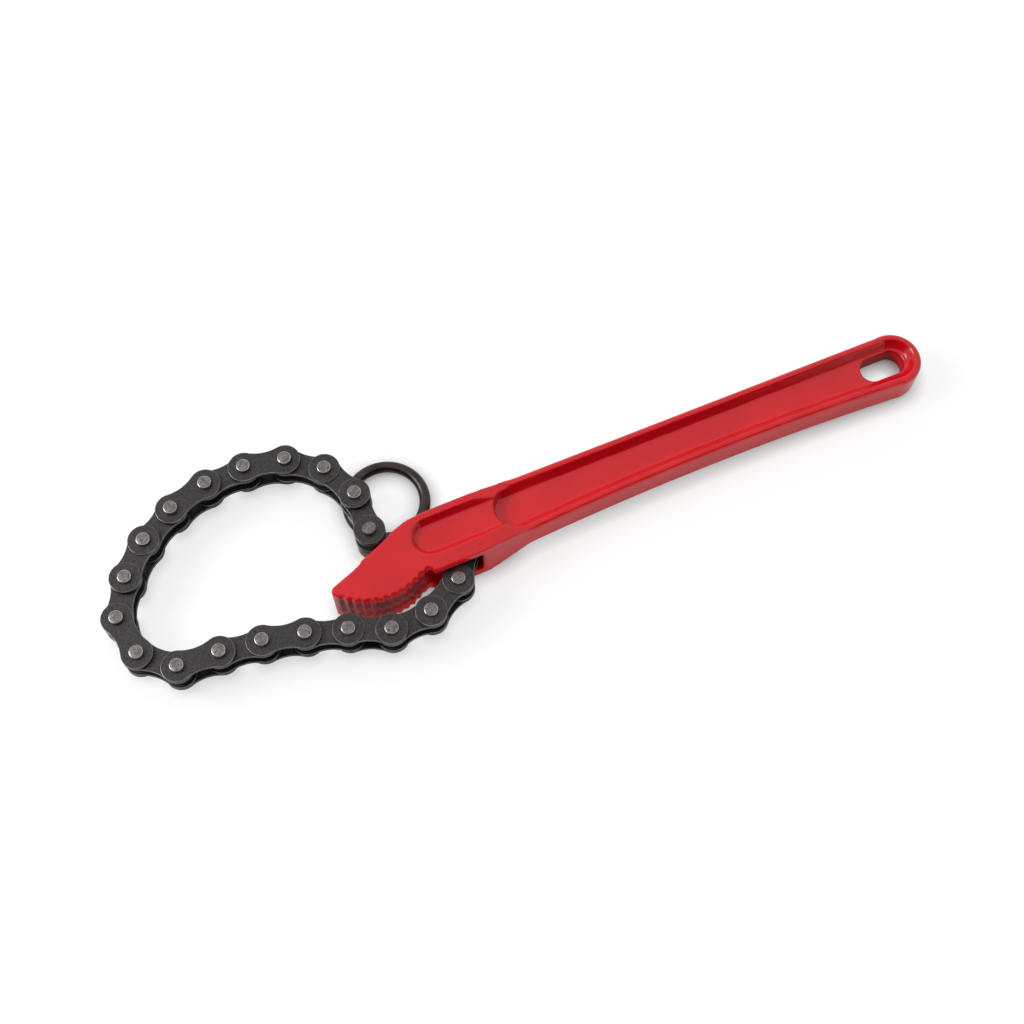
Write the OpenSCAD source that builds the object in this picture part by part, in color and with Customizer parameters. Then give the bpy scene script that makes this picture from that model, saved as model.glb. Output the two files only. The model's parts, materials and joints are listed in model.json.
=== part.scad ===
// Chain pipe wrench: a forged handle with a toothed jaw, a bush chain
// anchored in the slot of its head, and a pull ring at the chain's free end.
// Millimetres. The handle runs along +X, the wrench lies on z = 0.

/* [Chain] */
// Distance between neighbouring pins
pitch = 19.05; // [16:0.05:22]
// Diameter of the round plate ends
plate_d = 14.4; // [12:0.1:15]
// Width of the plates at the waist
waist_w = 10.8; // [8.5:0.1:11.5]
// Thickness of one plate
plate_t = 1.6; // [1.2:0.1:1.8]
// Clear width between the two inner plates
inner_gap = 5.8; // [5:0.1:6.2]
// Free play between an inner and an outer plate
side_play = 0.3; // [0.2:0.05:0.4]
// Diameter of the pins
pin_d = 6.4; // [5.5:0.1:7]
// Outside diameter of the bushes
bush_d = 8.8; // [8:0.1:9.6]
// Radial clearance of a pin in its bush
run_clear = 0.05; // [0.03:0.01:0.09]
// How far a pin stands out on top
pin_top = 1.9; // [0.9:0.1:2.4]
// How far a pin stands out underneath
pin_foot = 0.6; // [0.5:0.1:0.8]
// Bevel on the pin ends
pin_bevel = 0.45; // [0.2:0.05:0.6]
// Thickness of the riveting washers
washer_t = 0.7; // [0.5:0.1:0.8]

/* [Chain pose] */
// Heading of the link that leaves the head
lead_deg = 234.1; // [232:0.1:237]
// Bend at each pin below the jaw
jaw_deg = -25.8; // [-27:0.1:-24.5]
// Bend at each pin of the slack run
slack_deg = 5.1; // [4:0.1:6]
// Bend at each pin round the left side
left_deg = -38.8; // [-39.6:0.1:-38]
// Bend at each pin of the far run
far_deg = -14.5; // [-15:0.1:-14]
// Bend at each pin of the return to the head
return_deg = -26.3; // [-27:0.1:-25.5]

/* [Head] */
// Thickness of the head
head_h = 27; // [26:0.5:30]
// Height of the chain slot
slot_h = 17; // [16.5:0.1:18]
// Chain anchor, along the handle
anchor_x = 20.4; // [19.5:0.1:21.5]
// Chain anchor, across the handle
anchor_y = -6.1; // [-7:0.1:-5]
// Radius of the toothed jaw
jaw_r = 30.2; // [28:0.1:31]
// Centre of the jaw curve, along the handle
jaw_x = -21.5; // [-23:0.1:-20]
// Centre of the jaw curve, across the handle
jaw_y = 10.4; // [10:0.1:12]
// Number of grooves in the jaw
groove_n = 11; // [8:1:12]
// Radius of one groove
groove_r = 1.6; // [1.1:0.1:1.7]
// Depth of one groove
groove_depth = 1.2; // [0.6:0.1:1.4]
// Lower edge of the cheeks over the slot
cheek_y = -16.4; // [-18:0.1:-16]
// Far edge of the head beside the slot
crown_y = 12.2; // [11.8:0.1:13.4]
// Depth of the shallow dish in each face
dish_depth = 3.4; // [2:0.1:3.6]
// Half width of the dish
dish_r = 9; // [8:0.1:9.6]
// Width of the sloping side of the dish
dish_slope = 2.6; // [1.5:0.1:3]

/* [Grip] */
// Reach of the handle end from the jaw
end_x = 255.4; // [230:0.2:280]
// Radius of the round end
end_r = 13.7; // [13.2:0.1:15]
// Width of the grip at its waist
grip_w = 24.2; // [23:0.1:25]
// Place of the waist along the handle
grip_x = 145; // [135:1:150]
// Thickness of the grip
grip_h = 17.5; // [15:0.5:19]
// Rounding of the outer edges
edge_r = 2; // [1:0.1:2.2]
// Depth of the recess in each face of the grip
web_recess = 4.2; // [3:0.1:5]
// Width of the rims beside the recess
rim_w = 3.6; // [3.2:0.1:4.2]
// Width of the sloping side of the recess
web_slope = 2; // [1.2:0.1:2.6]
// Width of the hanging hole
hole_w = 12.2; // [9:0.1:12.6]
// Length of the hanging hole
hole_l = 22; // [16:0.1:23]
// Distance of the hanging hole from the end
hole_gap = 7.7; // [5.5:0.1:9]

/* [Pull ring] */
// Radius of the ring to the middle of its wire
ring_r = 18; // [17.6:0.1:19]
// Diameter of the ring wire
wire_d = 5.2; // [4.6:0.1:5.4]
// Direction of the ring from the end pin
ring_deg = 50.5; // [50:0.5:56]
// Diameter of the eye under the end pin
eye_d = 13.6; // [13.2:0.1:14.2]

/* [Hidden] */
$fn = 96;
big_fn = 1600;
eps = 0.01;
over = 1;
datum_x = -20;
datum_y = -8;
mid = head_h / 2;
plate_r = plate_d / 2;
inner_half = inner_gap / 2 + plate_t;
outer_low = inner_half + side_play;
outer_half = outer_low + plate_t;
waist_r = (pow(pitch / 2, 2) + pow(waist_w / 2, 2) - pow(plate_r, 2)) / (2 * (plate_r - waist_w / 2));
waist_y = waist_w / 2 + waist_r;
waist_a = atan2(waist_y, pitch / 2);
rivet_lift = washer_t / 2;
sleeve_d = bush_d + 0.8;
slot_low = mid - slot_h / 2;
slot_right = anchor_x + 3.1;
slot_left = -1.5;
slot_reach = 3 * end_r;
pocket_r = plate_r + 1.1;
wall_floor = dish_depth;
skin = 0.5;
window_gap = 2;
groove_a0 = 228;
groove_a1 = 301;
tip_x = jaw_x - 23.7;
block_x = 2;
dish_x = 4.9;
dish_y = -0.1;
dish_floor = mid - dish_depth;
flare_x0 = 29;
flare_x1 = 47;
flare_fall = (mid - grip_h / 2) / (flare_x1 - flare_x0);
flare_end = flare_x1 + edge_r / flare_fall;
step_x = 45.5;
step_y = -0.3;
step_r = 10.8;
step_slope = 2;
grip_half = grip_h / 2;
web_half = grip_half - web_recess;
seam = 0.15;
bury = 0.2;
end_cx = end_x - end_r;
far_y = end_r - seam;
near_w = grip_w - far_y;
near_r = (pow(end_cx - grip_x, 2) + pow(near_w, 2) - pow(far_y, 2)) / (2 * (far_y - near_w));
inner_r = 0.8;
dip_x = 40;
dip_deg = atan2(mid - grip_half, end_x - edge_r - dip_x);
eye_off = 3.2;
eye_floor = 0.75;
eye_cap = 1.1;
ring_gap = 0.4;
ring_z = mid - outer_half - pin_foot - ring_gap - wire_d / 2;

// Back edge of the head, from the jaw tip to the crown
back_edge = [
    [tip_x, -7.2], [tip_x + 1.3, -5.8], [-38, -3.6], [-33.4, -2], [-29.1, -0.2], [-27.7, 1.2],
    [-23.5, 2.7], [-16, 5.7], [-9.8, 8.9], [-3.2, 11.1]
];

// Far edge of the head, from the flare back to the jaw block
crown_edge = [[flare_x0, crown_y], [14, crown_y], [3, crown_y - 0.4]];

// Near edge of the head, from the notch beside the jaw along the cheeks
cheek_edge = [[-8, -12], [-1.6, -13.4], [-0.6, -13.8], [0.6, cheek_y], [slot_right + 2, cheek_y]];

function two(k) = k < 10 ? str("0", k) : str(k);

// Turn of the chain at pin i, counted from the anchor
function bend(i) = i <= 3 ? jaw_deg : i <= 7 ? slack_deg : i <= 10 ? left_deg : i <= 15 ? far_deg : return_deg;
function heading(k) = k == 1 ? lead_deg : heading(k - 1) + bend(k - 1);
function joint(k) = k == 1 ? [anchor_x, anchor_y]
    : joint(k - 1) + pitch * [cos(heading(k - 1)), sin(heading(k - 1))];

// Edge of the grip on the jaw side, which bows in to the waist
function near_y(x) = sqrt(pow(near_r, 2) - pow(x - grip_x, 2)) - near_r - near_w;

ring_c = joint(20) + (ring_r + eye_off) * [cos(ring_deg), sin(ring_deg)];

INNER = [1 : 2 : 19];
OUTER = [2 : 2 : 18];
RIVETED = [2, 4, 12, 18];
function riveted(k) = len(search(k, RIVETED)) > 0;

// Moves a piece from plan positions to the origin under the jaw block
module placed() {
    translate([-datum_x, -datum_y, 0]) children();
}

// Link frame: the nearer pin at the origin, the link along +X
module at_link(k) {
    placed()
        translate([joint(k)[0], joint(k)[1], mid])
            rotate([0, 0, heading(k)])
                children();
}

// Outline of a link plate: two round ends and a waist that runs into them
module plate_shape(hole) {
    tx = plate_r * cos(waist_a);
    ty = plate_r * sin(waist_a);
    difference() {
        union() {
            circle(r = plate_r);
            translate([pitch, 0]) circle(r = plate_r);
            difference() {
                translate([tx, -ty]) square([pitch - 2 * tx, 2 * ty]);
                for (s = [-1, 1])
                    translate([pitch / 2, s * waist_y]) circle(r = waist_r, $fn = 180);
            }
        }
        circle(d = hole);
        translate([pitch, 0]) circle(d = hole);
    }
}

// Pair of plates, their inner faces at the given height each side of the middle
module plate_pair(low, hole) {
    for (z = [low, -low - plate_t])
        translate([0, 0, z])
            linear_extrude(height = plate_t) plate_shape(hole);
}

// Plain ring about a pin
module collar(outside, inside, tall) {
    difference() {
        cylinder(d = outside, h = tall);
        translate([0, 0, -over]) cylinder(d = inside, h = tall + 2 * over);
    }
}

module inner_plates(k) {
    color([0.22, 0.22, 0.23]) at_link(k) plate_pair(inner_gap / 2, bush_d);
}

module outer_plates(k) {
    color([0.25, 0.25, 0.26]) at_link(k) plate_pair(outer_low, pin_d);
}

module bushes(k) {
    color([0.3, 0.3, 0.31])
        at_link(k)
            for (x = [0, pitch])
                translate([x, 0, -inner_half]) collar(bush_d, pin_d + 2 * run_clear, 2 * inner_half);
}

// One chain pin with bevelled ends, centred on the chain's middle plane
module chain_pin(top) {
    low = outer_half + pin_foot;
    translate([0, 0, -low]) cylinder(d1 = pin_d - 2 * pin_bevel, d2 = pin_d, h = pin_bevel);
    translate([0, 0, -low + pin_bevel]) cylinder(d = pin_d, h = low + top - 2 * pin_bevel);
    translate([0, 0, top - pin_bevel]) cylinder(d1 = pin_d, d2 = pin_d - 2 * pin_bevel, h = pin_bevel);
}

module pins(k) {
    lift = riveted(k) ? rivet_lift : 0;
    color([0.5, 0.48, 0.46])
        at_link(k)
            for (x = [0, pitch])
                translate([x, 0, 0]) chain_pin(outer_half + pin_top + lift);
}

module washers(k) {
    color([0.24, 0.24, 0.25])
        at_link(k)
            for (x = [0, pitch])
                translate([x, 0, outer_half]) collar(plate_d, pin_d, washer_t);
}

// Jaw block: the toothed curve below, the stepped back edge above
module jaw_shape() {
    low = jaw_y - jaw_r - over;
    difference() {
        intersection() {
            translate([jaw_x, jaw_y]) circle(r = jaw_r, $fn = 240);
            polygon(concat([[tip_x, low], [0, low], [block_x, cheek_y / 2], [block_x, jaw_y]], [
                for (i = [len(back_edge) - 2 : -1 : 0]) back_edge[i]
            ]));
        }
        for (i = [0 : groove_n - 1]) {
            a = groove_a0 + i * (groove_a1 - groove_a0) / (groove_n - 1);
            r = jaw_r + groove_r - groove_depth;
            translate([jaw_x + r * cos(a), jaw_y + r * sin(a)]) circle(r = groove_r, $fn = 32);
        }
    }
}

// Plan of the head: the jaw block, the cheeks of the slot and the neck
module head_plan() {
    jaw_shape();
    last = len(back_edge) - 1;
    polygon(concat(
        cheek_edge,
        [[flare_x1, near_y(flare_x1) + bury], [flare_end, near_y(flare_end) + bury]],
        [[flare_end, far_y - bury], [flare_x1, far_y - bury]],
        crown_edge,
        [back_edge[last], back_edge[last - 1], back_edge[last - 2]]
    ));
}

// Side view of the head with the flare down to the grip
module head_side() {
    h = mid;
    e = grip_half - edge_r;
    polygon([
        [2 * tip_x, -h], [flare_x0, -h], [flare_end, -e], [flare_end, e], [flare_x0, h], [2 * tip_x, h]
    ]);
}

// Large drum whose rim is the bowed flank, with the given section
module near_flank(rim) {
    n = len(rim) - 1;
    translate([grip_x, -near_r - near_w, 0])
        rotate_extrude($fn = big_fn)
            polygon(concat([[0, rim[0][1]]], [for (p = rim) [near_r + p[0], p[1]]], [[0, rim[n][1]]]));
}

// Bar along the straight flank, with the given section
module far_flank(rim) {
    n = len(rim) - 1;
    wide = 2 * end_r;
    translate([dip_x - slot_reach, far_y, 0])
        rotate([90, 0, 90])
            linear_extrude(height = end_x)
                polygon(concat([[wide, rim[0][1]]], [for (p = rim) [-p[0], p[1]]], [[wide, rim[n][1]]]));
}

// Section of an outer edge: inset from the flank against the height
half_edge = [
    [0, grip_half - edge_r], [edge_r * (1 - cos(45)), grip_half - edge_r * (1 - sin(45))],
    [edge_r, grip_half], [edge_r, grip_half + over]
];
outer_edge = concat([for (i = [3 : -1 : 0]) [half_edge[i][0], -half_edge[i][1]]], half_edge);

// Section of a recess wall, from the web up to the rim
recess_wall = [
    [rim_w + web_slope + inner_r, web_half - over], [rim_w + web_slope + inner_r, web_half],
    [rim_w + web_slope, web_half + inner_r], [rim_w, grip_half - inner_r],
    [rim_w - inner_r, grip_half], [rim_w - inner_r, head_h]
];

// Turned shape at the round end, with the given section
module end_drum(edge, r) {
    translate([end_cx, 0, 0])
        rotate_extrude($fn = 160)
            polygon(concat([[0, edge[0][1]]], [for (p = edge) [r - p[0], p[1]]], [[0, edge[len(edge) - 1][1]]]));
}

// Grip about its own middle plane, before the recesses
module grip_blank() {
    difference() {
        translate([dip_x, -2 * end_r, -grip_half]) cube([end_cx - seam - over - dip_x, 4 * end_r, grip_h]);
        near_flank(outer_edge);
        far_flank(outer_edge);
    }
    end_drum([for (i = [1 : 6]) outer_edge[i]], end_r);
}

// Recess in one face of the grip, with a round ramp towards the head
module grip_recess() {
    tall = head_h - web_half;
    difference() {
        union() {
            translate([step_x, step_y, web_half])
                cylinder(r1 = step_r - step_slope, r2 = step_r + step_slope, h = tall);
            translate([step_x, -2 * end_r, web_half])
                cube([end_cx - seam - over - step_x, 4 * end_r, tall]);
        }
        near_flank(recess_wall);
        far_flank(recess_wall);
    }
    end_drum([for (i = [1 : 5]) recess_wall[i]], end_r);
}

// Dish in one face of the head, open towards the grip
module head_dish() {
    low = dish_r - dish_slope;
    translate([dish_x, dish_y, dish_floor]) cylinder(r1 = low, r2 = dish_r, h = dish_depth + eps);
    translate([dish_x, dish_y, 0])
        rotate([90, 0, 90])
            linear_extrude(height = step_x - dish_x)
                polygon([
                    [-low, dish_floor], [low, dish_floor], [dish_r, mid + eps], [-dish_r, mid + eps]
                ]);
}

// Slot for the chain: a through window with a round pocket about the anchor
module chain_slot() {
    translate([0, 0, slot_low])
        linear_extrude(height = slot_h) {
            translate([slot_left, anchor_y - slot_reach]) square([slot_right - slot_left, slot_reach]);
            translate([slot_left, anchor_y - over]) square([anchor_x - window_gap - slot_left, slot_reach]);
            translate([anchor_x, anchor_y]) circle(r = pocket_r);
        }
}

// Plan of the hanging hole
module hanging_hole() {
    x1 = end_x - hole_gap - hole_w / 2;
    x0 = x1 - hole_l + hole_w;
    translate([x0, 0]) circle(d = hole_w);
    translate([x1, 0]) circle(d = hole_w);
    translate([x0, -hole_w / 2]) square([x1 - x0, hole_w]);
}

// The grip dips from the head so that its end rests on the table too
module dipped() {
    translate([dip_x, 0, mid]) rotate([0, dip_deg, 0]) translate([-dip_x, 0, 0]) children();
}

module handle() {
    color([0.78, 0.1, 0.12])
        placed() difference() {
            union() {
                intersection() {
                    linear_extrude(height = head_h) head_plan();
                    translate([0, slot_reach, mid])
                        rotate([90, 0, 0])
                            linear_extrude(height = 2 * slot_reach) head_side();
                }
                dipped() grip_blank();
            }
            for (f = [0, 1]) {
                dipped() mirror([0, 0, f]) grip_recess();
                translate([0, 0, mid]) mirror([0, 0, f]) head_dish();
            }
            dipped() translate([0, 0, -mid]) linear_extrude(height = head_h) hanging_hole();
            chain_slot();
            translate([anchor_x, anchor_y, wall_floor - over])
                cylinder(d = pin_d, h = head_h - 2 * wall_floor - skin + over);
        }
}

module anchor_pin() {
    color([0.5, 0.5, 0.5])
        placed() translate([anchor_x, anchor_y, wall_floor])
            cylinder(d = pin_d, h = head_h - 2 * wall_floor - skin);
}

module anchor_spacers() {
    tall = mid - outer_low - slot_low;
    color([0.4, 0.4, 0.42])
        placed() for (z = [slot_low, mid + outer_low])
            translate([anchor_x, anchor_y, z]) collar(sleeve_d, pin_d, tall);
}

// Wire of the pull ring, also the shape of its seat in the eye
module ring_wire() {
    translate([ring_c[0], ring_c[1], ring_z])
        rotate_extrude($fn = 120) translate([ring_r, 0]) circle(d = wire_d, $fn = 40);
}

module pull_ring() {
    color([0.17, 0.14, 0.12]) placed() ring_wire();
}

// Last pin of the chain, with an eye under it that holds the ring
module end_stud() {
    top = outer_half + pin_top;
    eye_low = ring_z - wire_d / 2 - eye_floor;
    eye_top = ring_z + wire_d / 2 + eye_cap;
    color([0.45, 0.43, 0.42])
        placed() translate([joint(20)[0], joint(20)[1], 0])
            difference() {
                union() {
                    translate([0, 0, mid - outer_low]) cylinder(d = pin_d, h = outer_low + top - pin_bevel);
                    translate([0, 0, mid + top - pin_bevel])
                        cylinder(d1 = pin_d, d2 = pin_d - 2 * pin_bevel, h = pin_bevel);
                    translate([0, 0, eye_top - over])
                        cylinder(d = sleeve_d, h = mid - outer_low - eye_top + over);
                    translate([0, 0, eye_low]) cylinder(d = eye_d, h = eye_top - eye_low);
                }
                translate([-joint(20)[0], -joint(20)[1], 0]) ring_wire();
            }
}

module end_washer() {
    color([0.24, 0.24, 0.25])
        placed() translate([joint(20)[0], joint(20)[1], mid + outer_low]) collar(plate_d, pin_d, plate_t);
}

handle();
anchor_pin();
anchor_spacers();
for (k = INNER) {
    inner_plates(k);
    bushes(k);
}
for (k = OUTER) {
    outer_plates(k);
    pins(k);
}
for (k = RIVETED)
    washers(k);
end_stud();
end_washer();
pull_ring();
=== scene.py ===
# %% [markdown]
# # A chain pipe wrench
# The wrench lies flat on a white table: a red forged handle with a toothed head,
# a blackened bush chain curled into a loop, and a small pull ring at the chain's free end.
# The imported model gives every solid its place. Here each solid gets a finer piece
# with softened edges and a finish of its own, and each piece rides on the body it belongs to.

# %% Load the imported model
import json
import math

import bmesh
import bpy
from mathutils import Matrix, Vector


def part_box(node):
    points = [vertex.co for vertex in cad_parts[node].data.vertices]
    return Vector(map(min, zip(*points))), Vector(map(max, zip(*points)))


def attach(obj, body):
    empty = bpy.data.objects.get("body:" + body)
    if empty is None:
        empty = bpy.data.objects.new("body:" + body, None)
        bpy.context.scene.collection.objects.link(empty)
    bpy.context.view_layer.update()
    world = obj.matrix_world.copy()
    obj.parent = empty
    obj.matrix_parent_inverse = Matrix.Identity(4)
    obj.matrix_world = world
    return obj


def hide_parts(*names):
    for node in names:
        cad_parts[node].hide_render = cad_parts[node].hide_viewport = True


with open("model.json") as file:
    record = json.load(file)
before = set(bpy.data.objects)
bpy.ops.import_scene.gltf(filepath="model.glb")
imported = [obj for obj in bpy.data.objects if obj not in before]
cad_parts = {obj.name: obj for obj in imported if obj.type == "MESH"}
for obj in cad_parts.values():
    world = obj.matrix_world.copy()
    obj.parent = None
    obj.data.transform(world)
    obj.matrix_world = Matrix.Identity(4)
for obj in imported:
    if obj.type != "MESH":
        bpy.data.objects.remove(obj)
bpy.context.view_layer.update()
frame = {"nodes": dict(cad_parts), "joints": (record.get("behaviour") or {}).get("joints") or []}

# %% [markdown]
# ## Small helpers
# An operator acts on everything that is selected, so each step first selects one object alone.
# Faces and vertices are then picked in code, by their place, while edit mode is on.

# %% Helpers for selecting and applying
MM = 0.001


def pick(obj):
    """Leaves obj as the only selected object, and makes it active."""
    bpy.ops.object.select_all(action="DESELECT")
    obj.select_set(True)
    bpy.context.view_layer.objects.active = obj
    return obj


def edit(obj):
    """Opens obj in edit mode with nothing selected."""
    pick(obj)
    bpy.ops.object.mode_set(mode="EDIT")
    bpy.ops.mesh.select_all(action="DESELECT")


def done():
    """Leaves edit mode and returns the object."""
    bpy.ops.object.mode_set(mode="OBJECT")
    return bpy.context.object


def select_verts(test):
    """Selects, in edit mode, the vertices whose place passes the test."""
    bpy.ops.mesh.select_mode(type="VERT")
    mesh = bmesh.from_edit_mesh(bpy.context.object.data)
    for v in mesh.verts:
        v.select = bool(test(v.co))
    mesh.select_flush_mode()
    bmesh.update_edit_mesh(bpy.context.object.data)


def select_faces(test):
    """Selects, in edit mode, the faces that pass the test."""
    bpy.ops.mesh.select_mode(type="FACE")
    mesh = bmesh.from_edit_mesh(bpy.context.object.data)
    for f in mesh.faces:
        f.select = bool(test(f))
    mesh.select_flush_mode()
    bmesh.update_edit_mesh(bpy.context.object.data)


def apply_modifiers(obj):
    """Applies the modifiers of obj from first to last."""
    pick(obj)
    for name in [m.name for m in obj.modifiers]:
        bpy.ops.object.modifier_apply(modifier=name)
    return obj


def soften(obj, width, segments=2, edge_slot=-1, angle=40):
    """Bevels the sharp edges of obj; the bevel faces take the finish in edge_slot."""
    bevel = obj.modifiers.new("soft edges", "BEVEL")
    bevel.width = width
    bevel.segments = segments
    bevel.limit_method = "ANGLE"
    bevel.angle_limit = math.radians(angle)
    bevel.material = edge_slot
    return obj


def smooth(obj, angle=35):
    """Shades faces smooth where they meet at less than the angle; large faces stay flat."""
    pick(obj)
    bpy.ops.object.shade_smooth_by_angle(angle=math.radians(angle))
    flat = obj.modifiers.new("flat faces", "WEIGHTED_NORMAL")
    flat.keep_sharp = True
    return apply_modifiers(obj)


print("helpers ready: select, edit, apply, soften, smooth")

# %% [markdown]
# ## Finishes
# Every finish is built from nodes on Object coordinates, which are metres here.
# A noise of scale 1 / 0.004 therefore has features about 4 mm across.
# One helper makes the nodes that all the finishes share.

# %% Helper for node finishes
def finish(name):
    """A new material: its node tree, its main shader and its coordinates."""
    mat = bpy.data.materials.new(name)
    mat.use_nodes = True
    tree = mat.node_tree
    return mat, tree, tree.nodes["Principled BSDF"], tree.nodes.new("ShaderNodeTexCoord")


def noise(tree, coords, size, detail=3.0, rough=0.5):
    """A noise whose features are about size metres across."""
    node = tree.nodes.new("ShaderNodeTexNoise")
    node.inputs["Scale"].default_value = 1 / size
    node.inputs["Detail"].default_value = detail
    node.inputs["Roughness"].default_value = rough
    tree.links.new(coords.outputs["Object"], node.inputs["Vector"])
    return node


def ramp(tree, source, stops):
    """A colour ramp fed by source, with (position, colour) stops."""
    node = tree.nodes.new("ShaderNodeValToRGB")
    bar = node.color_ramp.elements
    while len(bar) < len(stops):
        bar.new(0.5)
    for stop, (at, colour) in zip(bar, stops):
        stop.position = at
        stop.color = (*colour, 1)
    tree.links.new(source, node.inputs["Fac"])
    return node


def spread(tree, source, low, high):
    """Maps the middle of a noise to the span from low to high."""
    node = tree.nodes.new("ShaderNodeMapRange")
    node.inputs["From Min"].default_value = 0.3
    node.inputs["From Max"].default_value = 0.7
    node.inputs["To Min"].default_value = low
    node.inputs["To Max"].default_value = high
    tree.links.new(source, node.inputs["Value"])
    return node


def bump(tree, height, depth, strength, under=None):
    """A bump of the given depth in metres, on top of another one."""
    node = tree.nodes.new("ShaderNodeBump")
    node.inputs["Distance"].default_value = depth
    node.inputs["Strength"].default_value = strength
    tree.links.new(height, node.inputs["Height"])
    if under is not None:
        tree.links.new(under.outputs["Normal"], node.inputs["Normal"])
    return node


print("helpers ready: noise, ramp, spread, bump")

# %% [markdown]
# ### Red enamel
# The handle is a forging under a thick, glossy coat of red. The coat lies in soft waves
# and has a fine orange peel, so its highlights are broken rather than mirror-like.
# Two bumps of different size give that, and a slow noise shifts the red a little.

# %% Red enamel
DEEP_RED = (0.57, 0.0035, 0.009)
BRIGHT_RED = (0.65, 0.006, 0.013)


def red_enamel():
    """Thick red enamel: a slow change of tone, soft waves and a fine peel."""
    mat, tree, shader, coords = finish("red_enamel")
    tone = noise(tree, coords, 22 * MM)
    reds = ramp(tree, tone.outputs["Fac"], [(0.3, DEEP_RED), (0.7, BRIGHT_RED)])
    tree.links.new(reds.outputs["Color"], shader.inputs["Base Color"])
    gloss = spread(tree, noise(tree, coords, 6 * MM).outputs["Fac"], 0.12, 0.22)
    tree.links.new(gloss.outputs["Result"], shader.inputs["Roughness"])
    waves = bump(tree, noise(tree, coords, 9 * MM, 1.5).outputs["Fac"], 0.5 * MM, 0.22)
    peel = bump(tree, noise(tree, coords, 1.6 * MM, 2).outputs["Fac"], 0.1 * MM, 0.32, waves)
    tree.links.new(peel.outputs["Normal"], shader.inputs["Normal"])
    shader.inputs["Specular IOR Level"].default_value = 0.4
    return mat


RED = red_enamel()
print("finish:", RED.name)

# %% [markdown]
# ### Blackened chain steel
# The plates are stamped from steel and blackened, with a satin face. Their stamped edges
# are paler: partly black rubbed off by handling, partly a painted highlight for the light the
# thin bevels catch. The face and the paler edge are two finishes; the bevels of each plate take
# the second.

# %% Blackened plate, rubbed edge with painted highlight
PIT_SIZE = 0.5 * MM
PIT_DEPTH = 0.05 * MM


def steel(name, dark, light, patch, rough, metal, grain):
    """Steel whose tone wanders between two colours in patches, with fine pits."""
    mat, tree, shader, coords = finish(name)
    mottle = noise(tree, coords, patch, 4, 0.6)
    tone = ramp(tree, mottle.outputs["Fac"], [(0.32, dark), (0.68, light)])
    tree.links.new(tone.outputs["Color"], shader.inputs["Base Color"])
    gloss = spread(tree, noise(tree, coords, patch * 0.6).outputs["Fac"], rough[0], rough[1])
    tree.links.new(gloss.outputs["Result"], shader.inputs["Roughness"])
    pits = bump(tree, noise(tree, coords, PIT_SIZE, 3, 0.6).outputs["Fac"], PIT_DEPTH, grain)
    tree.links.new(pits.outputs["Normal"], shader.inputs["Normal"])
    shader.inputs["Metallic"].default_value = metal
    return mat


PLATE = steel(
    "black_plate", dark=(0.029, 0.026, 0.0265), light=(0.063, 0.0575, 0.058),
    patch=1.1 * MM, rough=(0.34, 0.52), metal=0.75, grain=0.5,
)
# Paler bevels: partly steel rubbed bare, partly a painted highlight along every edge.
RUBBED_AND_SHEEN = steel(
    "rubbed_edge_and_sheen", dark=(0.09, 0.087, 0.086), light=(0.24, 0.23, 0.225),
    patch=3 * MM, rough=(0.26, 0.4), metal=0.9, grain=0.2,
)
BUSH = steel(
    "bush_steel", dark=(0.026, 0.0245, 0.024), light=(0.055, 0.052, 0.05),
    patch=4 * MM, rough=(0.3, 0.45), metal=0.85, grain=0.2,
)
print("finishes:", [m.name for m in (PLATE, RUBBED_AND_SHEEN, BUSH)])

# %% [markdown]
# ### Pin steel and ring oxide
# The pin ends were ground after blackening, so they show mottled, slightly brown steel.
# Their bevel is bare steel painted brighter still, a painted glint around each rim.
# The ring is wire with a dark brown oxide and a smooth sheen.

# %% Pin steel, pin rim with painted glint, ring oxide
PIN = steel(
    "bright_pin", dark=(0.085, 0.078, 0.073), light=(0.25, 0.232, 0.22),
    patch=1.3 * MM, rough=(0.3, 0.48), metal=0.9, grain=0.5,
)
# The pin's bevel: bare ground steel, painted brighter still as a glint around the rim.
RIM_AND_GLINT = steel(
    "pin_rim_and_glint", dark=(0.24, 0.225, 0.215), light=(0.48, 0.46, 0.44),
    patch=1.5 * MM, rough=(0.2, 0.32), metal=1.0, grain=0.2,
)
OXIDE = steel(
    "ring_oxide", dark=(0.030, 0.024, 0.022), light=(0.062, 0.05, 0.046),
    patch=7 * MM, rough=(0.2, 0.34), metal=0.8, grain=0.15,
)
print("finishes:", [m.name for m in (PIN, RIM_AND_GLINT, OXIDE)])

# %% [markdown]
# ## The handle
# The handle is one forging: head, jaw and I-section grip. Modelling it again from
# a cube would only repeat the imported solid, so the solid's mesh is copied and its loose
# triangles are merged. A voxel remesh then gives an even skin, and smoothing rounds
# every edge as the thick enamel does.

# %% Forged handle
VOXEL = 0.62 * MM
MERGE = 0.001 * MM


def copy_of(node, name):
    """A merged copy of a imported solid's mesh, as a new object."""
    obj = bpy.data.objects.new(name, frame["nodes"][node].data.copy())
    bpy.context.scene.collection.objects.link(obj)
    obj.data.materials.clear()
    edit(obj)
    bpy.ops.mesh.select_all(action="SELECT")
    bpy.ops.mesh.remove_doubles(threshold=MERGE)
    return done()


handle = copy_of("handle", "forged_handle")
skin = handle.modifiers.new("even skin", "REMESH")
skin.mode = "VOXEL"
skin.voxel_size = VOXEL
rounding = handle.modifiers.new("rounding", "SMOOTH")
rounding.factor = 0.5
rounding.iterations = 5
apply_modifiers(handle)
bpy.ops.object.shade_smooth()
handle.data.materials.append(RED)
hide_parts("handle")
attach(handle, "handle")
print("handle faces:", len(handle.data.polygons))

# %% [markdown]
# ## One link plate
# All the plates have one outline: two round ends and a waist that runs into them.
# A circle is split in half, the halves are moved one pitch apart, and the two long
# edges between them are divided and pulled in to the waist. A fill, an extrusion,
# two bored holes and a fine bevel make it a stamped plate.

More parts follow.
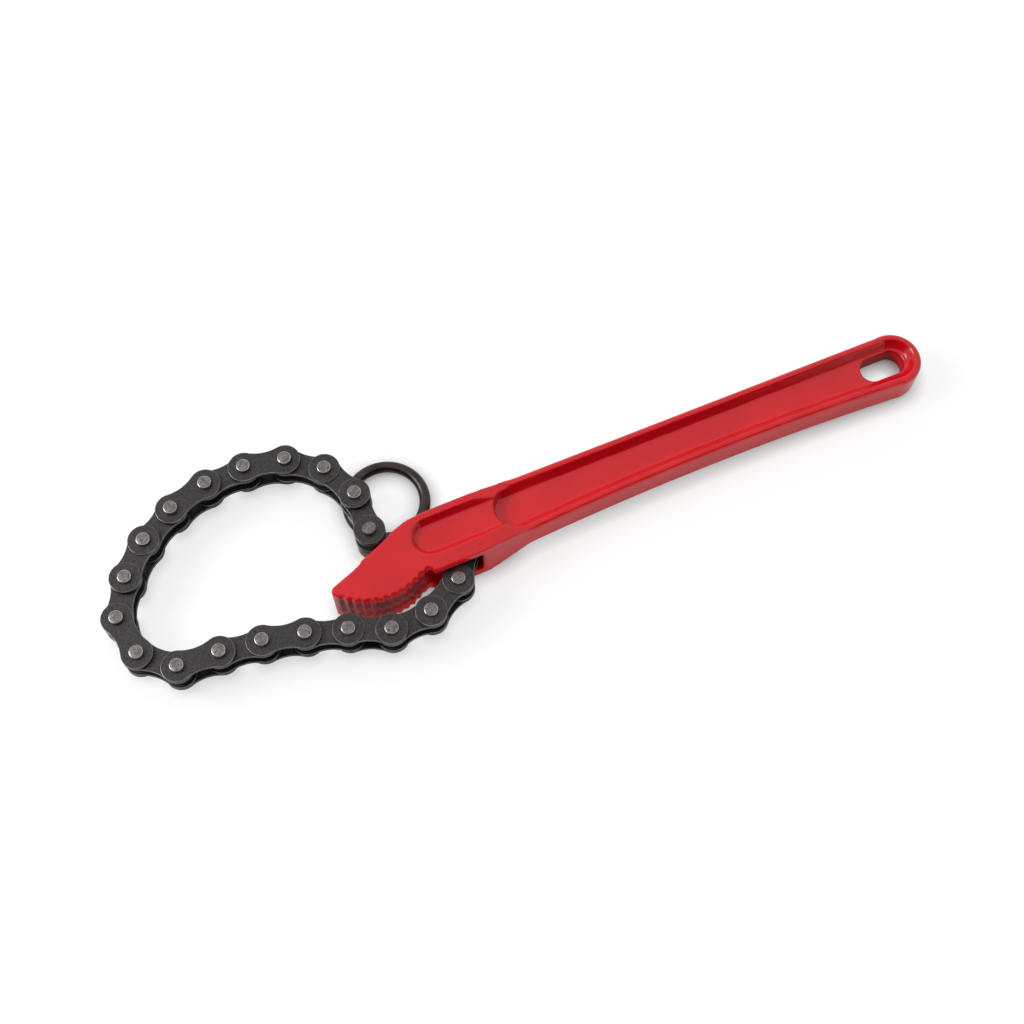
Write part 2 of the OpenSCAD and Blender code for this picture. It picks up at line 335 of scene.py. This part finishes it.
# %% Outline of the waist
PITCH = 19.05 * MM
PLATE_R = 7.2 * MM
WAIST = 5.4 * MM
PLATE_T = 1.6 * MM
PLATE_EDGE = 0.24 * MM
half = PITCH / 2
waist_r = (half**2 + WAIST**2 - PLATE_R**2) / (2 * (PLATE_R - WAIST))
waist_y = WAIST + waist_r
round_end = PLATE_R * half / math.hypot(half, waist_y)


def plate_edge(x):
    """Half the width of the plate at x, measured from the nearer pin."""
    near = min(x, PITCH - x)
    if near < round_end:
        return math.sqrt(PLATE_R**2 - near**2)
    return waist_y - math.sqrt(waist_r**2 - (near - half) ** 2)


print("waist radius mm:", round(waist_r / MM, 2))

# %% [markdown]
# The holes are bored with a long cylinder as the drill. The plate lies along X with its
# first pin at the origin, so that every link can be placed by its first pin.

# %% Model one plate
ROUND = 64
DRILL_L = 100 * MM


def bore(obj, diameter, places):
    """Cuts round holes through obj at the given places along X."""
    for x in places:
        bpy.ops.object.select_all(action="DESELECT")
        bpy.ops.mesh.primitive_cylinder_add(
            vertices=ROUND, radius=diameter / 2, depth=DRILL_L, location=(x, 0, 0)
        )
        drill = bpy.context.object
        cut = obj.modifiers.new("bore", "BOOLEAN")
        cut.object = drill
        apply_modifiers(obj)
        bpy.data.objects.remove(drill)
    return obj


def link_plate(name, hole):
    """A waisted plate lying on z = 0, its first pin at the origin."""
    bpy.ops.object.select_all(action="DESELECT")
    bpy.ops.mesh.primitive_circle_add(vertices=74, radius=PLATE_R)
    plate = bpy.context.object
    plate.name = name
    edit(plate)
    select_verts(lambda co: co.x > 0)
    bpy.ops.transform.translate(value=(PITCH, 0, 0))
    mesh = bmesh.from_edit_mesh(plate.data)
    for e in mesh.edges:
        e.select_set(e.calc_length() > half)
    bpy.ops.mesh.subdivide(number_cuts=36)
    for v in bmesh.from_edit_mesh(plate.data).verts:
        if 0 < v.co.x < PITCH:
            v.co.y = math.copysign(plate_edge(v.co.x), v.co.y)
    bpy.ops.mesh.select_all(action="SELECT")
    bpy.ops.mesh.edge_face_add()
    bpy.ops.mesh.extrude_region_move(TRANSFORM_OT_translate={"value": (0, 0, PLATE_T)})
    bpy.ops.mesh.select_all(action="SELECT")
    bpy.ops.mesh.normals_make_consistent(inside=False)
    done()
    bore(plate, hole, (0, PITCH))
    plate.data.materials.append(PLATE)
    plate.data.materials.append(RUBBED_AND_SHEEN)
    # The bevels take the second finish, the paler edge that is partly a painted highlight.
    soften(plate, PLATE_EDGE, 2, 1)
    apply_modifiers(plate)
    return smooth(plate)


print("plate length mm:", round((PITCH + 2 * PLATE_R) / MM, 2))

# %% [markdown]
# A link has two such plates, one above the chain's middle plane and one below.
# The plate is modelled once and copied, and the two copies are joined into a pair.

# %% Plate pairs
PIN_D = 6.4 * MM
BUSH_D = 8.8 * MM
INNER_LOW = 2.9 * MM
OUTER_LOW = 4.8 * MM


def join(pieces, name):
    """Joins pieces into one object."""
    pick(pieces[0])
    for p in pieces:
        p.select_set(True)
    bpy.ops.object.join()
    bpy.context.object.name = name
    return bpy.context.object


def moved_copy(obj, place):
    """A copy of obj with its own mesh, moved by a matrix."""
    new = obj.copy()
    new.data = obj.data.copy()
    new.data.transform(place)
    bpy.context.scene.collection.objects.link(new)
    return new


def plate_pair(name, hole, low):
    """Two plates whose inner faces are low metres from the middle plane."""
    plate = link_plate(name, hole)
    heights = (low, -low - PLATE_T)
    pair = [moved_copy(plate, Matrix.Translation((0, 0, z))) for z in heights]
    bpy.data.objects.remove(plate)
    return join(pair, name)


inner_pair = plate_pair("inner_pair", BUSH_D, INNER_LOW)
outer_pair = plate_pair("outer_pair", PIN_D, OUTER_LOW)
print("faces in a plate pair:", len(inner_pair.data.polygons))

# %% [markdown]
# ## Bushes, pins and washers
# A bush is a short tube: a cylinder whose ends are inset and bridged through.
# A pin is a cylinder with a bevelled, slightly crowned end that stands above the plates.
# A washer is a flat tube, so the bush's function makes it too.

# %% Tubes
def tube(name, outer, inner, low, high, finishes, edge):
    """A tube about Z with softened rims; bridging the two inset ends bores it."""
    bpy.ops.object.select_all(action="DESELECT")
    bpy.ops.mesh.primitive_cylinder_add(
        vertices=ROUND, radius=outer / 2, depth=high - low, location=(0, 0, (low + high) / 2)
    )
    obj = bpy.context.object
    obj.name = name
    bpy.ops.object.transform_apply(location=True, rotation=True, scale=True)
    edit(obj)
    select_faces(lambda f: abs(f.normal.z) > 0.5)
    bpy.ops.mesh.inset(thickness=(outer - inner) / 2, use_individual=True)
    bpy.ops.mesh.bridge_edge_loops()
    done()
    for finish_slot in finishes:
        obj.data.materials.append(finish_slot)
    soften(obj, edge, 2, len(finishes) - 1)
    apply_modifiers(obj)
    return smooth(obj)


INNER_HALF = INNER_LOW + PLATE_T
OUTER_HALF = OUTER_LOW + PLATE_T
WASHER_T = 0.7 * MM
WASHER_TOP = OUTER_HALF + WASHER_T
BUSH_BORE = PIN_D + 0.1 * MM
BUSH_EDGE = 0.15 * MM
WASHER_EDGE = 0.2 * MM
bush = tube("bush", BUSH_D, BUSH_BORE, -INNER_HALF, INNER_HALF, (BUSH,), BUSH_EDGE)
washer = tube(
    "washer", 2 * PLATE_R, PIN_D, OUTER_HALF, WASHER_TOP, (PLATE, RUBBED_AND_SHEEN), WASHER_EDGE
)
print("tubes:", bush.name, washer.name)

# %% [markdown]
# The pins stand a little proud of the plates on both sides. Those with a washer under
# the head are a little longer.

# %% Pins
PIN_EDGE = 0.42 * MM
CROWN_IN = 1.5 * MM
CROWN_UP = 0.12 * MM


def chain_pin(name, foot, top):
    """A pin from z = foot to z = top with a bevel and a low crown."""
    bpy.ops.object.select_all(action="DESELECT")
    bpy.ops.mesh.primitive_cylinder_add(
        vertices=48, radius=PIN_D / 2, depth=top - foot, location=(0, 0, (foot + top) / 2)
    )
    obj = bpy.context.object
    obj.name = name
    bpy.ops.object.transform_apply(location=True, rotation=True, scale=True)
    obj.data.materials.append(PIN)
    obj.data.materials.append(RIM_AND_GLINT)
    # The bevel takes the second finish, the rim with its painted glint.
    soften(obj, PIN_EDGE, 3, 1, 60)
    apply_modifiers(obj)
    edit(obj)
    select_faces(lambda f: f.normal.z > 0.999)
    bpy.ops.mesh.inset(thickness=CROWN_IN)
    bpy.ops.transform.translate(value=(0, 0, CROWN_UP))
    done()
    return smooth(obj, 50)


PIN_FOOT = -OUTER_HALF - 0.6 * MM
PIN_TOP = OUTER_HALF + 1.9 * MM
TALL_TOP = PIN_TOP + WASHER_T / 2
short_pin = chain_pin("short_pin", PIN_FOOT, PIN_TOP)
tall_pin = chain_pin("tall_pin", PIN_FOOT, TALL_TOP)
print("pins:", short_pin.name, tall_pin.name)

# %% [markdown]
# ## Laying out the chain
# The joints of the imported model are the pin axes, in order from the head to the ring.
# Link k runs from pin k to pin k + 1, so its place is a move to the first and a turn
# towards the second. Odd links are inner ones with bushes, even links carry the pins.

# %% Place every link
axes = [Vector(j["pos_m"]) for j in frame["joints"]]


def link_place(k):
    """Where link k lies: its first pin's axis and its heading."""
    start, end = axes[k - 1], axes[k]
    turn = math.atan2(end.y - start.y, end.x - start.x)
    return Matrix.Translation(start) @ Matrix.Rotation(turn, 4, "Z")


def put(template, node, body, place):
    """Copies a template to its place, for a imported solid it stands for."""
    piece = moved_copy(template, place)
    piece.name = node + "_look"
    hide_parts(node)
    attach(piece, body)
    return piece


def twin(template, name):
    """The template at both pins of a link, as one object."""
    return join([moved_copy(template, Matrix.Translation((x, 0, 0))) for x in (0, PITCH)], name)


bushes = twin(bush, "bush_pair")
washers = twin(washer, "washer_pair")
short_pins = twin(short_pin, "short_pin_pair")
tall_pins = twin(tall_pin, "tall_pin_pair")
for k in range(1, len(axes)):
    body, place = f"link_{k:02d}", link_place(k)
    if k % 2:
        put(inner_pair, f"inner_plates_{k:02d}", body, place)
        put(bushes, f"bushes_{k:02d}", body, place)
    else:
        riveted = f"washers_{k:02d}" in frame["nodes"]
        put(outer_pair, f"outer_plates_{k:02d}", body, place)
        put(tall_pins if riveted else short_pins, f"pins_{k:02d}", body, place)
        if riveted:
            put(washers, f"washers_{k:02d}", body, place)
print("links laid:", len(axes) - 1)

# %% [markdown]
# The templates have done their work and are removed, so that only placed pieces are left.

# %% Remove the templates
single = (inner_pair, outer_pair, bush, washer, short_pin, tall_pin)
doubled = (bushes, washers, short_pins, tall_pins)
for template in single + doubled:
    bpy.data.objects.remove(template)
print("templates removed:", len(single + doubled))

# %% [markdown]
# ## The pull ring
# The ring is bent from round wire and butt welded. A small circle, the wire's section, is
# spun once about the ring's axis. The seam is turned to the end pin, where the eye hides it.

# %% Pull ring
ring_low, ring_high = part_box("pull_ring")
ring_mid = (ring_low + ring_high) / 2
wire_r = (ring_high.z - ring_low.z) / 2
ring_r = (ring_high.x - ring_low.x) / 2 - wire_r
end_axis = axes[-1]
seam_turn = math.atan2(end_axis.y - ring_mid.y, end_axis.x - ring_mid.x)
bpy.ops.object.select_all(action="DESELECT")
bpy.ops.mesh.primitive_circle_add(
    vertices=32, radius=wire_r, location=(ring_r, 0, 0), rotation=(math.pi / 2, 0, 0)
)
ring = bpy.context.object
ring.name = "pull_ring_look"
bpy.ops.object.transform_apply(location=True, rotation=True, scale=True)
edit(ring)
bpy.ops.mesh.select_all(action="SELECT")
bpy.ops.mesh.spin(steps=160, angle=2 * math.pi, center=(0, 0, 0), axis=(0, 0, 1))
bpy.ops.mesh.select_all(action="SELECT")
bpy.ops.mesh.remove_doubles(threshold=MERGE)
bpy.ops.mesh.normals_make_consistent(inside=False)
done()
ring.data.transform(Matrix.Translation(ring_mid) @ Matrix.Rotation(seam_turn, 4, "Z"))
ring.data.materials.append(OXIDE)
smooth(ring, 60)
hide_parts("pull_ring")
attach(ring, "ring")
print("ring radius mm:", round(ring_r / MM, 2), "wire mm:", round(2 * wire_r / MM, 2))

# %% [markdown]
# The end pin holds the ring in an eye under the chain. Its solid already has the
# right shape, so a merged copy with softened edges is enough. The hidden anchor in the
# head keeps its own solids and only takes a finish.

# %% End pin, end washer, hidden anchor
END_EDGE = 0.2 * MM
for node, slot, finishes in (
    ("end_stud", "bright_pin", (PIN, RIM_AND_GLINT)),
    ("end_washer", "black_plate", (PLATE, RUBBED_AND_SHEEN)),
):
    piece = copy_of(node, node + "_look")
    for finish_slot in finishes:
        piece.data.materials.append(finish_slot)
    soften(piece, END_EDGE, 2, 1)
    apply_modifiers(piece)
    smooth(piece)
    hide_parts(node)
    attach(piece, "ring")
for node in ("anchor_pin", "anchor_spacers"):
    frame["nodes"][node].data.materials.clear()
    frame["nodes"][node].data.materials.append(BUSH)
print("end pin and anchor finished")

# %% [markdown]
# ## Table and light
# The wrench lies on a plain white table. Extra white, only for rays that come from the
# camera, from a shiny surface or through glass, lifts the table to paper white without
# lighting the wrench more. The extra white fades within 8 mm of the wrench, which paints a
# darker contact shadow on top of the cast one. Where the enamel mirrors the table it fades
# within 30 mm, a painted shade in the reflection that keeps the flanks deep red.

# %% Helpers for the table and the light
def calculate(tree, operation, first, second):
    """The output of one Math node on two sockets."""
    node = tree.nodes.new("ShaderNodeMath")
    node.operation = operation
    tree.links.new(first, node.inputs[0])
    tree.links.new(second, node.inputs[1])
    return node.outputs[0]


def background_rays(tree):
    """Two sockets: 1 for rays straight from the camera, 1 for mirrored and refracted rays."""
    path = tree.nodes.new("ShaderNodeLightPath").outputs
    mirrored = calculate(tree, "MAXIMUM", path["Is Glossy Ray"], path["Is Transmission Ray"])
    return path["Is Camera Ray"], mirrored


def openness(tree, reach):
    """How much of the sky above a point is free of things within reach of it."""
    node = tree.nodes.new("ShaderNodeAmbientOcclusion")
    node.samples = 4
    node.inputs["Distance"].default_value = reach
    return node.outputs["AO"]


def matt(name, grey):
    """A dull finish of one grey: its material, its node tree and its shader."""
    mat, tree, shader, _ = finish(name)
    shader.inputs["Base Color"].default_value = (grey, grey, grey, 1)
    shader.inputs["Roughness"].default_value = 0.9
    shader.inputs["Specular IOR Level"].default_value = 0
    return mat, tree, shader


print("helpers ready: background rays, openness, matt finish")

# %% [markdown]
# The table's own grey and the extra white add up to white where nothing is near.

# %% Table
TABLE_GREY = 0.27
EXTRA_WHITE = 0.77
CONTACT_SHADE_REACH = 8 * MM
REFLECTED_SHADE_REACH = 30 * MM
bpy.ops.object.select_all(action="DESELECT")
bpy.ops.mesh.primitive_plane_add(size=6, location=(0, 0, 0))
table = bpy.context.object
table.name = "table"
white, tree, shader = matt("white_table", TABLE_GREY)
glow = tree.nodes.new("ShaderNodeEmission")
glow.inputs["Color"].default_value = (EXTRA_WHITE, EXTRA_WHITE, EXTRA_WHITE, 1)
seen, mirrored = background_rays(tree)
# Both fades paint shade: the table darker next to the wrench, and darker still where the enamel
# mirrors it.
wide = openness(tree, REFLECTED_SHADE_REACH)
seen = calculate(tree, "MULTIPLY", seen, openness(tree, CONTACT_SHADE_REACH))
mirrored = calculate(tree, "MULTIPLY", mirrored, calculate(tree, "MULTIPLY", wide, wide))
tree.links.new(calculate(tree, "MAXIMUM", seen, mirrored), glow.inputs["Strength"])
both = tree.nodes.new("ShaderNodeAddShader")
tree.links.new(shader.outputs[0], both.inputs[0])
tree.links.new(glow.outputs[0], both.inputs[1])
tree.links.new(both.outputs[0], tree.nodes["Material Output"].inputs["Surface"])
table.data.materials.append(white)
print("table laid")

# %% [markdown]
# Soft light comes from a room that is white above and behind the wrench and dim in
# front of it, and from one lamp high at the far left. A low strip in front gives
# the flanks the light that a white table throws back; it makes no glints.

# %% Lamps
MIDDLE = Vector((0.08, 0.02, 0.01))
KEY_PLACE = (-0.95, 0.45, 0.95)
STRIP_PLACE = (0.05, -1.1, 0.045)


def facing(place):
    """The turn of a lamp or a card at a place, so that it faces the wrench."""
    return (MIDDLE - Vector(place)).to_track_quat("-Z", "Y").to_euler()


def lamp(name, place, wide, tall, power):
    """A rectangular area lamp that faces the middle of the wrench."""
    bpy.ops.object.light_add(type="AREA", location=place, rotation=facing(place))
    light = bpy.context.object
    light.name = name
    light.data.shape = "RECTANGLE"
    light.data.size = wide
    light.data.size_y = tall
    light.data.energy = power
    return light


lamp("key_lamp", KEY_PLACE, 0.6, 0.6, 11)
strip = lamp("low_strip", STRIP_PLACE, 1.4, 0.05, 7)
strip.visible_glossy = False

# %% [markdown]
# A photographer sets up a black card beside the camera, so that the glossy walls which
# face the viewer mirror something dark and keep their deep red. The card here does that,
# and is hidden from the camera itself.

# %% Black card
CARD_PLACE = (-0.252, -0.674, 0.474)
CARD_SIZE = (2.4, 0.92, 1)
bpy.ops.object.select_all(action="DESELECT")
bpy.ops.mesh.primitive_plane_add(size=1, location=CARD_PLACE, rotation=facing(CARD_PLACE))
card = bpy.context.object
card.name = "black_card"
card.scale = CARD_SIZE
bpy.ops.object.transform_apply(location=True, rotation=True, scale=True)
card.data.materials.append(matt("card_black", 0.02)[0])
card.visible_camera = False
print("card set up")

# %% [markdown]
# The room is bright above and behind the wrench and dim in front of it. The rays that show
# the background see plain white in every direction.

# %% Room
BRIGHT_SIDE = (0.3, 0.7, 0.65)
world = bpy.context.scene.world or bpy.data.worlds.new("room")
bpy.context.scene.world = world
world.use_nodes = True
tree = world.node_tree
coords = tree.nodes.new("ShaderNodeTexCoord")
behind = tree.nodes.new("ShaderNodeVectorMath")
behind.operation = "DOT_PRODUCT"
behind.inputs[1].default_value = BRIGHT_SIDE
tree.links.new(coords.outputs["Generated"], behind.inputs[0])
soft = tree.nodes.new("ShaderNodeMapRange")
soft.inputs["From Min"].default_value = 0.0
soft.inputs["From Max"].default_value = 0.6
soft.inputs["To Min"].default_value = 0.05
soft.inputs["To Max"].default_value = 1.0
tree.links.new(behind.outputs["Value"], soft.inputs["Value"])
white_room = calculate(tree, "MAXIMUM", *background_rays(tree))
white_room = calculate(tree, "MAXIMUM", white_room, soft.outputs["Result"])
room = tree.nodes["Background"]
room.inputs["Color"].default_value = (1, 1, 1, 1)
tree.links.new(white_room, room.inputs["Strength"])
bpy.context.scene.view_settings.view_transform = "Standard"
print("room:", world.name)

# %% [markdown]
# ## Camera
# The even spacing of the chain's pins gives the photo's view: the camera looks down at
# 67 degrees with a lens of about 55 mm, and the handle runs 23.5 degrees across it.

# %% Camera
CAMERA_PLACE = (-0.0461, -0.2465, 0.6701)
LENS_MM = 54.84
bpy.ops.object.camera_add(location=CAMERA_PLACE)
camera = bpy.context.object
camera.name = "photo_camera"
camera.rotation_euler = (math.radians(23), 0, math.radians(-23.5))
camera.data.lens = LENS_MM
camera.data.sensor_width = 36
camera.data.clip_start = 0.01
bpy.context.scene.camera = camera
print("camera height mm:", round(camera.location.z / MM, 1))
